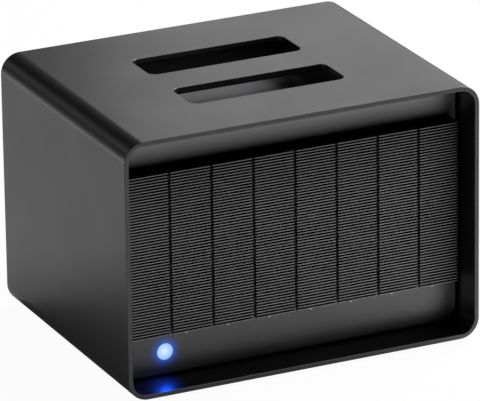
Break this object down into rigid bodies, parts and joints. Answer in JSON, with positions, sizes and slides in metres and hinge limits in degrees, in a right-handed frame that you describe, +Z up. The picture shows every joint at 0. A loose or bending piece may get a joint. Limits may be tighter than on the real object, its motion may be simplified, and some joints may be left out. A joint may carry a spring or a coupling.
{
  "type": "raid storage enclosure",
  "caption": "Desktop drive enclosure: rounded metal sleeve with hand slots in its top, a recessed front with finned tray doors, a lit power button, and rear fans and ports.",
  "frame": {"origin": "on the surface it stands on, under the middle of the enclosure", "axes": "+X to the right seen from the front, front faces -Y, +Z up"},
  "size_m": [0.2552, 0.2, 0.1804],
  "materials": {
    "shell_black": "bead-blasted, black anodised",
    "tub_black": "satin moulded",
    "bezel_black": "semi-gloss",
    "door_black": "satin moulded",
    "tray_black": "satin moulded",
    "drive_metal": "cast and pressed",
    "cage_steel": "zinc plated",
    "board_green": "solder mask",
    "socket_black": "moulded",
    "chip_black": "moulded",
    "can_metal": "drawn can",
    "sink_metal": "extruded",
    "brass_posts": "turned",
    "panel_black": "fine powder coat",
    "fan_black": "moulded",
    "guard_black": "black coated wire",
    "screw_black": "black oxide",
    "port_metal": "nickel plated",
    "control_grey": "moulded",
    "foot_rubber": "moulded",
    "lamp_lit": "clear, lit",
    "lamp_dark": "clear, unlit",
    "button_lit": "frosted, lit blue",
    "ring_clear": "clear, lit blue"
  },
  "bodies": {
    "enclosure": {"shell": "shell_black", "handle_tub": "tub_black", "hand_bridge": "tub_black", "front_bezel": "bezel_black", "cage_floor": "cage_steel", "cage_roof": "cage_steel", "cage_side_left": "cage_steel", "cage_side_right": "cage_steel", "chassis_base": "cage_steel", "front_board": "board_green", "main_board": "board_green", "backplane": "board_green", "bay_led_off": "lamp_dark", "bay_leds_on": "lamp_lit", "power_button_ring": "ring_clear", "board_standoffs": "brass_posts", "main_chips": "chip_black", "capacitors": "can_metal", "heatsink": "sink_metal", "sata_sockets": "socket_black", "fan_frame_left": "fan_black", "fan_frame_right": "fan_black", "fan_guards": "guard_black", "rear_panel": "panel_black", "rear_brackets": "cage_steel", "usb_ports": "port_metal", "power_jack": "socket_black", "rear_switches": "socket_black", "feet": "foot_rubber", "small_screws": "screw_black", "fan_screws": "screw_black"},
    "power_button": {"power_button": "button_lit"},
    "fan_rotor_left": {"fan_rotor_left": "fan_black"},
    "fan_rotor_right": {"fan_rotor_right": "fan_black"},
    "mode_dial": {"mode_dial": "control_grey"},
    "set_button": {"set_button": "control_grey"},
    "tray_body_1": {"tray_1": "tray_black", "drive_1": "drive_metal"},
    "door_body_1": {"door_1": "door_black"},
    "tray_body_2": {"tray_2": "tray_black", "drive_2": "drive_metal"},
    "door_body_2": {"door_2": "door_black"},
    "tray_body_3": {"tray_3": "tray_black", "drive_3": "drive_metal"},
    "door_body_3": {"door_3": "door_black"},
    "tray_body_4": {"tray_4": "tray_black", "drive_4": "drive_metal"},
    "door_body_4": {"door_4": "door_black"},
    "tray_body_5": {"tray_5": "tray_black", "drive_5": "drive_metal"},
    "door_body_5": {"door_5": "door_black"},
    "tray_body_6": {"tray_6": "tray_black", "drive_6": "drive_metal"},
    "door_body_6": {"door_6": "door_black"},
    "tray_body_7": {"tray_7": "tray_black", "drive_7": "drive_metal"},
    "door_body_7": {"door_7": "door_black"},
    "tray_body_8": {"tray_8": "tray_black", "drive_8": "drive_metal"},
    "door_body_8": {"door_8": "door_black"}
  },
  "joints": [
    {"name": "tray_1_slide", "type": "slide", "parent": "enclosure", "child": "tray_body_1", "axis": [0, -1, 0], "range_m": [0, 0.165]},
    {"name": "door_1_swing", "type": "hinge", "parent": "tray_body_1", "child": "door_body_1", "pos_m": [-0.105, -0.08005, 0.0426], "axis": [1, 0, 0], "range_deg": [0, 75]},
    {"name": "tray_2_slide", "type": "slide", "parent": "enclosure", "child": "tray_body_2", "axis": [0, -1, 0], "range_m": [0, 0.165]},
    {"name": "door_2_swing", "type": "hinge", "parent": "tray_body_2", "child": "door_body_2", "pos_m": [-0.075, -0.08005, 0.0426], "axis": [1, 0, 0], "range_deg": [0, 75]},
    {"name": "tray_3_slide", "type": "slide", "parent": "enclosure", "child": "tray_body_3", "axis": [0, -1, 0], "range_m": [0, 0.165]},
    {"name": "door_3_swing", "type": "hinge", "parent": "tray_body_3", "child": "door_body_3", "pos_m": [-0.045, -0.08005, 0.0426], "axis": [1, 0, 0], "range_deg": [0, 75]},
    {"name": "tray_4_slide", "type": "slide", "parent": "enclosure", "child": "tray_body_4", "axis": [0, -1, 0], "range_m": [0, 0.165]},
    {"name": "door_4_swing", "type": "hinge", "parent": "tray_body_4", "child": "door_body_4", "pos_m": [-0.015, -0.08005, 0.0426], "axis": [1, 0, 0], "range_deg": [0, 75]},
    {"name": "tray_5_slide", "type": "slide", "parent": "enclosure", "child": "tray_body_5", "axis": [0, -1, 0], "range_m": [0, 0.165]},
    {"name": "door_5_swing", "type": "hinge", "parent": "tray_body_5", "child": "door_body_5", "pos_m": [0.015, -0.08005, 0.0426], "axis": [1, 0, 0], "range_deg": [0, 75]},
    {"name": "tray_6_slide", "type": "slide", "parent": "enclosure", "child": "tray_body_6", "axis": [0, -1, 0], "range_m": [0, 0.165]},
    {"name": "door_6_swing", "type": "hinge", "parent": "tray_body_6", "child": "door_body_6", "pos_m": [0.045, -0.08005, 0.0426], "axis": [1, 0, 0], "range_deg": [0, 75]},
    {"name": "tray_7_slide", "type": "slide", "parent": "enclosure", "child": "tray_body_7", "axis": [0, -1, 0], "range_m": [0, 0.165]},
    {"name": "door_7_swing", "type": "hinge", "parent": "tray_body_7", "child": "door_body_7", "pos_m": [0.075, -0.08005, 0.0426], "axis": [1, 0, 0], "range_deg": [0, 75]},
    {"name": "tray_8_slide", "type": "slide", "parent": "enclosure", "child": "tray_body_8", "axis": [0, -1, 0], "range_m": [0, 0.165]},
    {"name": "door_8_swing", "type": "hinge", "parent": "tray_body_8", "child": "door_body_8", "pos_m": [0.105, -0.08005, 0.0426], "axis": [1, 0, 0], "range_deg": [0, 75]},
    {"name": "power_button_press", "type": "slide", "parent": "enclosure", "child": "power_button", "axis": [0, 1, 0], "range_m": [0, 0.001], "stiffness_N_per_m": 1500, "springref_m": -0.0005},
    {"name": "set_button_press", "type": "slide", "parent": "enclosure", "child": "set_button", "axis": [0, -1, 0], "range_m": [0, 0.0005], "stiffness_N_per_m": 1500, "springref_m": -0.0005},
    {"name": "mode_dial_turn", "type": "hinge", "parent": "enclosure", "child": "mode_dial", "pos_m": [0.045, 0.094, 0.0194], "axis": [0, 1, 0], "range_deg": [0, 270]},
    {"name": "fan_left_spin", "type": "hinge", "parent": "enclosure", "child": "fan_rotor_left", "pos_m": [-0.06, 0.0861, 0.0948], "axis": [0, 1, 0], "continuous": true},
    {"name": "fan_right_spin", "type": "hinge", "parent": "enclosure", "child": "fan_rotor_right", "pos_m": [0.06, 0.0861, 0.0948], "axis": [0, 1, 0], "continuous": true}
  ]
}
